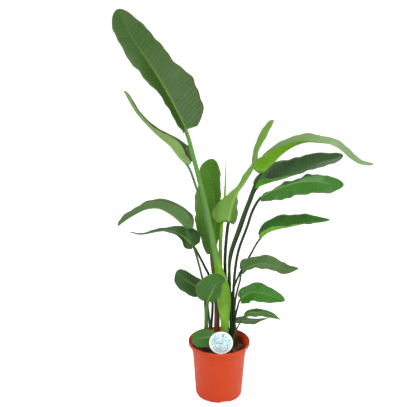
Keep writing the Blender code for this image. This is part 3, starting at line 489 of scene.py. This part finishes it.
# Painted shade: inside and under the pot, the wall colour is a darker, mottled copy of the orange.
inside_shade_mask = math_node(tree, "LESS_THAN", radius, outer)
inside_shade_mottle = node(tree, "ShaderNodeTexNoise", {}, {"Vector": place, "Scale": 40.0, "Detail": 6.0}).outputs["Fac"]
painted_inside_shade = blend_colour(tree, inside_shade_mottle, linear("#5E1A0A"), linear("#8C2A12"))
tree.links.new(blend_colour(tree, inside_shade_mask, wall, painted_inside_shade), shader.inputs["Base Color"])
shader.inputs["Roughness"].default_value = 0.5
shader.inputs["Specular IOR Level"].default_value = 0.3
silk = node(tree, "ShaderNodeTexNoise", {}, {"Vector": place, "Scale": 900.0, "Detail": 2.0}).outputs["Fac"]
relief = node(tree, "ShaderNodeBump", {}, {"Strength": 0.08, "Distance": 0.0003, "Height": silk})
tree.links.new(relief.outputs[0], shader.inputs["Normal"])

pot = turned("pot_moulded", POT_INSIDE + POT_LIP + POT_OUTSIDE, POT_STEPS, pot_finish)
outward(pot)
cutters = []
for i in range(DRAIN_SLOTS):
    angle = FIRST_SLOT_ANGLE + i * 2 * math.pi / DRAIN_SLOTS
    bpy.ops.mesh.primitive_cube_add(size=1, location=(DRAIN_SLOT_RADIUS * math.cos(angle),
                                                      DRAIN_SLOT_RADIUS * math.sin(angle), 0),
                                    rotation=(0, 0, angle))
    bpy.context.object.scale = DRAIN_SLOT_SIZE
    cutters.append(bpy.context.object)
for i in range(DRAIN_HOLES):
    angle = i * 2 * math.pi / DRAIN_HOLES
    bpy.ops.mesh.primitive_cylinder_add(vertices=32, radius=DRAIN_HOLE_RADIUS, depth=32 * MM,
                                        location=(DRAIN_HOLE_CIRCLE * math.cos(angle),
                                                  DRAIN_HOLE_CIRCLE * math.sin(angle), 0))
    cutters.append(bpy.context.object)
for cutter in cutters:
    boolean = pot.modifiers.new(cutter.name, "BOOLEAN")
    boolean.operation = "DIFFERENCE"
    boolean.object = cutter
cut_mesh = bpy.data.meshes.new_from_object(pot.evaluated_get(bpy.context.evaluated_depsgraph_get()))
pot.modifiers.clear()
pot.data = cut_mesh
for cutter in cutters:
    bpy.data.objects.remove(cutter, do_unlink=True)
cut_mesh.set_sharp_from_angle(angle=math.radians(35))
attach(pot, "root")
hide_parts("pot")

# ---------------------------------------------------------------------------------------------------------------
# Soil: dark, moist potting mix that fills the pot to 3 cm under its rim, with a crumbly, uneven top.
SOIL_STEPS = 220
SOIL_SIDE = [(103.6, 186), (103.35, 182.1), (101.1, 178), (89.45, 13), (86.3, 9.85)]
SOIL_ROWS = 70
SOIL_RADIUS = 0.1036
SOIL_MIDDLE = 0.1985       # height of the soil in the middle of the pot
SOIL_DROOP = 0.007         # how much lower it lies at the wall


def lumps(x, y, count, low, high, height):
    """The height of a field of round lumps: for each, height * radius * exp(-(distance / radius)^2)."""
    total = np.zeros_like(x)
    for cx, cy, r in zip(rng.uniform(-0.105, 0.105, count), rng.uniform(-0.105, 0.105, count),
                         rng.uniform(low, high, count)):
        total += height * r * np.exp(-((x - cx) ** 2 + (y - cy) ** 2) / r ** 2)
    return total


r_rows = np.linspace(0.0015, SOIL_RADIUS, SOIL_ROWS)[:, None]
angle = np.arange(SOIL_STEPS)[None] * 2 * math.pi / SOIL_STEPS
x, y = r_rows * np.cos(angle), r_rows * np.sin(angle)
z = (SOIL_MIDDLE - SOIL_DROOP * (r_rows / SOIL_RADIUS) ** 2 + lumps(x, y, 420, 0.002, 0.006, 0.45)
     + lumps(x, y, 40, 0.01, 0.02, 0.12))
z = np.minimum(z - 0.003, 0.2035) + 0 * angle
top = np.stack([x, y, z], axis=-1)
side = np.stack([np.stack([r * MM * np.cos(angle[0]), r * MM * np.sin(angle[0]), np.full(SOIL_STEPS, h * MM)], axis=-1)
                 for r, h in SOIL_SIDE])
rings = np.concatenate([top, side])
points = np.concatenate([rings.reshape(-1, 3), [(0, 0, z[0].mean()), (0, 0, 9.85 * MM)]])
count = len(rings) * SOIL_STEPS
faces = grid_faces(len(rings), SOIL_STEPS)
faces += [[(i + 1) % SOIL_STEPS, i, count] for i in range(SOIL_STEPS)]
faces += [[count - SOIL_STEPS + i, count - SOIL_STEPS + (i + 1) % SOIL_STEPS, count + 1] for i in range(SOIL_STEPS)]
soil_finish, tree, shader = finish_material("moist_potting_mix")
place = node(tree, "ShaderNodeTexCoord", {}, {}).outputs["Object"]
crumb = node(tree, "ShaderNodeTexNoise", {}, {"Vector": place, "Scale": 260.0, "Detail": 6.0}).outputs["Fac"]
clod = node(tree, "ShaderNodeTexVoronoi", {}, {"Vector": place, "Scale": 170.0}).outputs["Distance"]
tree.links.new(blend_colour(tree, crumb, linear("#241310"), linear("#6A3420")), shader.inputs["Base Color"])
shader.inputs["Roughness"].default_value = 0.85
relief = node(tree, "ShaderNodeBump", {}, {"Strength": 0.9, "Distance": 0.002,
                                           "Height": math_node(tree, "ADD", crumb, clod)})
tree.links.new(relief.outputs[0], shader.inputs["Normal"])
soil = mesh_object("soil_mix", points, faces, soil_finish)
outward(soil)
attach(soil, "root")
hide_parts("soil")

# Bark: split chips of conifer bark mixed in the soil, 6 to 22 mm, lying half sunk in its top.
BARK_CHIPS = 300
CHIP_SIDES = 7
chip_points, chip_faces, chip_tones = [], [], []
for i in range(BARK_CHIPS):
    a, r = rng.uniform(0, 2 * math.pi), 0.098 * math.sqrt(rng.uniform(0, 1))
    size = rng.uniform(0.003, 0.011) * (1 if rng.uniform() < 0.85 else 1.5)
    corner = np.arange(CHIP_SIDES) * 2 * math.pi / CHIP_SIDES
    ring = np.stack([np.cos(corner), 0.62 * np.sin(corner), 0 * corner], axis=-1) * rng.uniform(0.75, 1.1,
                                                                                               (CHIP_SIDES, 1))
    body = np.concatenate([ring * 0.7 + (0, 0, -0.3), ring, ring * 0.72 + (0, 0, 0.34)]) * size
    body += rng.normal(0, 0.05 * size, body.shape)
    spin, tilt = rng.uniform(0, 2 * math.pi), rng.normal(0, 0.4)
    about_z = np.array([[math.cos(spin), -math.sin(spin), 0], [math.sin(spin), math.cos(spin), 0], [0, 0, 1]])
    about_x = np.array([[1, 0, 0], [0, math.cos(tilt), -math.sin(tilt)], [0, math.sin(tilt), math.cos(tilt)]])
    body = body @ about_x.T @ about_z.T
    r = min(r, 0.099 - size)
    body += (r * math.cos(a), r * math.sin(a),
             SOIL_MIDDLE - SOIL_DROOP * (r / SOIL_RADIUS) ** 2 + rng.uniform(-0.001, 0.002))
    start = 3 * CHIP_SIDES * i
    chip_faces += [[start + k for k in quad] for quad in grid_faces(3, CHIP_SIDES)]
    chip_faces.append([start + k for k in range(CHIP_SIDES)][::-1])
    chip_faces.append([start + 2 * CHIP_SIDES + k for k in range(CHIP_SIDES)])
    chip_points.append(body)
    chip_tones += [rng.uniform()] * (3 * CHIP_SIDES)
bark_finish, tree, shader = finish_material("conifer_bark")
place = node(tree, "ShaderNodeTexCoord", {}, {}).outputs["Object"]
tone = node(tree, "ShaderNodeAttribute", {"attribute_name": "tone"}, {}).outputs["Fac"]
grain = node(tree, "ShaderNodeTexNoise", {}, {"Vector": place, "Scale": 420.0, "Detail": 5.0}).outputs["Fac"]
chip = blend_colour(tree, tone, linear("#4A2014"), linear("#9A5038"))
tree.links.new(blend_colour(tree, grain, chip, linear("#4A2A20")), shader.inputs["Base Color"])
shader.inputs["Roughness"].default_value = 0.7
relief = node(tree, "ShaderNodeBump", {}, {"Strength": 0.6, "Distance": 0.001, "Height": grain})
tree.links.new(relief.outputs[0], shader.inputs["Normal"])
bark = mesh_object("bark_chips", np.concatenate(chip_points), chip_faces, bark_finish, smooth=False)
layer = bark.data.attributes.new("tone", "FLOAT", "POINT")
layer.data.foreach_set("value", chip_tones)
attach(bark, "root")

# ---------------------------------------------------------------------------------------------------------------
# Label: a round white tag and its stake, die cut in one from plastic sheet. A field of small aqua and grey leaf
# flecks is printed inside a white border.
LABEL_RADIUS = 45 * MM
LABEL_THICKNESS = 0.8 * MM
LABEL_CENTRE = (5 * MM, -90 * MM, 257 * MM)
STAKE_HALF_WIDTH = 7 * MM
STAKE_LENGTH = 117 * MM
STAKE_POINT = 15 * MM
LABEL_LEAN = math.radians(4)
LABEL_STEPS = 121
PRINT_RADIUS = 38.5 * MM
neck = math.asin(STAKE_HALF_WIDTH / LABEL_RADIUS)
turns = np.linspace(math.pi - neck, neck - math.pi, LABEL_STEPS)
outline = np.concatenate([LABEL_RADIUS * np.stack([np.sin(turns), np.cos(turns)], axis=-1),
                          [(-STAKE_HALF_WIDTH, STAKE_POINT - STAKE_LENGTH), (0, -STAKE_LENGTH),
                           (STAKE_HALF_WIDTH, STAKE_POINT - STAKE_LENGTH)]])
upward = np.array([0, math.sin(LABEL_LEAN), math.cos(LABEL_LEAN)])
through = np.array([0, math.cos(LABEL_LEAN), -math.sin(LABEL_LEAN)])
face = np.array(LABEL_CENTRE) + outline[:, :1] * np.array([1, 0, 0]) + outline[:, 1:] * upward
points = np.concatenate([face - through * LABEL_THICKNESS / 2, face + through * LABEL_THICKNESS / 2])
count = len(outline)
faces = grid_faces(2, count) + [list(range(count)), list(range(2 * count - 1, count - 1, -1))]
label_finish, tree, shader = finish_material("printed_label_sheet")
place = node(tree, "ShaderNodeTexCoord", {}, {}).outputs["Object"]
to_middle = tuple(-c for c in LABEL_CENTRE)
centred = node(tree, "ShaderNodeMapping", {}, {"Vector": place, "Location": to_middle}).outputs[0]
from_middle = node(tree, "ShaderNodeVectorMath", {"operation": "LENGTH"}, {0: centred}).outputs["Value"]
printed = math_node(tree, "LESS_THAN", from_middle, PRINT_RADIUS)
flecks = node(tree, "ShaderNodeTexVoronoi", {}, {"Vector": centred, "Scale": 210.0, "Randomness": 1.0})
fleck = math_node(tree, "LESS_THAN", flecks.outputs["Distance"], 0.4)
wash = node(tree, "ShaderNodeTexNoise", {}, {"Vector": centred, "Scale": 60.0, "Detail": 3.0}).outputs["Fac"]
pick = node(tree, "ShaderNodeSeparateXYZ", {}, {"Vector": flecks.outputs["Color"]}).outputs["X"]
ink = blend_colour(tree, math_node(tree, "GREATER_THAN", pick, 0.7), linear("#1F8F9C"), linear("#0E3E48"))
ground = blend_colour(tree, wash, linear("#FFFFFF"), linear("#8FD6DE"))
design = blend_colour(tree, fleck, ground, ink)
tree.links.new(blend_colour(tree, printed, linear("#FFFFFF"), design), shader.inputs["Base Color"])
shader.inputs["Roughness"].default_value = 0.35
label = mesh_object("label_printed", points, faces, label_finish, smooth=False)
outward(label)
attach(label, "root")
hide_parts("label")

# ---------------------------------------------------------------------------------------------------------------
# Studio: a sheet of white paper that lies flat as the floor and sweeps up behind the plant, soft light from above
# and both sides, and the camera at standing height. The paper glows a little to the camera, so it reads as white.
FLOOR_HALF = 12
PAPER_GLOW = 0.45
SWEEP_START = 3.0
SWEEP_RADIUS = 2.5
SWEEP_TOP = 9.0
bend = np.linspace(0, math.pi / 2, 25)
run_y = np.concatenate([[-FLOOR_HALF], SWEEP_START + SWEEP_RADIUS * np.sin(bend), [SWEEP_START + SWEEP_RADIUS]])
run_z = np.concatenate([[0], SWEEP_RADIUS * (1 - np.cos(bend)), [SWEEP_TOP]])
sweep = np.stack([np.stack([np.full(len(run_y), x), run_y, run_z], axis=-1) for x in (-FLOOR_HALF, FLOOR_HALF)])
floor_finish, tree, shader = finish_material("white_paper_sweep")
shader.inputs["Base Color"].default_value = linear("#FFFFFF")
shader.inputs["Roughness"].default_value = 0.9
shader.inputs["Specular IOR Level"].default_value = 0.1
shader.inputs["Emission Color"].default_value = linear("#FFFFFF")
seen = node(tree, "ShaderNodeLightPath", {}, {}).outputs["Is Camera Ray"]
tree.links.new(math_node(tree, "MULTIPLY", seen, PAPER_GLOW), shader.inputs["Emission Strength"])
floor = mesh_object("floor", sweep.reshape(-1, 3),
                    [[i + 1, i, len(run_y) + i, len(run_y) + i + 1] for i in range(len(run_y) - 1)], floor_finish)

SKY_STRENGTH = 0.42
world = bpy.data.worlds.new("studio")
bpy.context.scene.world = world
world.use_nodes = True
world.node_tree.nodes["Background"].inputs["Color"].default_value = (1, 1, 1, 1)
world.node_tree.nodes["Background"].inputs["Strength"].default_value = SKY_STRENGTH
# Standard shows each colour as it is mixed, with no film curve over it.
bpy.context.scene.view_settings.view_transform = "Standard"

# Each light: name, place, the point it looks at, size and power in watts.
LIGHTS = [
    ("key_softbox", (-1.6, -2.2, 3.0), (0, 0, 0.8), 1.1, 75),
    ("fill_softbox", (2.4, -1.8, 1.8), (0, 0, 0.8), 2.0, 50),
    ("top_softbox", (0.6, 1.4, 3.2), (0, 0, 0.9), 1.4, 40),
]
for name, place, target, size, power in LIGHTS:
    data = bpy.data.lights.new(name, "AREA")
    data.shape = "SQUARE"
    data.size = size
    data.energy = power
    light = bpy.data.objects.new(name, data)
    light.location = place
    aim = np.array(target) - np.array(place)
    light.rotation_euler = (math.atan2(math.hypot(aim[0], aim[1]), -aim[2]), 0,
                            math.atan2(aim[0], -aim[1]) + math.pi)
    bpy.context.scene.collection.objects.link(light)

CAMERA_PLACE = (-0.075, -2.5, 1.47)
CAMERA_DEPRESSION = math.radians(15.4)
CAMERA_LENS = 61.63
lens = bpy.data.cameras.new("camera")
lens.sensor_width = 36
lens.lens = CAMERA_LENS
camera = bpy.data.objects.new("camera", lens)
camera.location = CAMERA_PLACE
camera.rotation_euler = (math.pi / 2 - CAMERA_DEPRESSION, 0, 0)
bpy.context.scene.collection.objects.link(camera)
bpy.context.scene.camera = camera
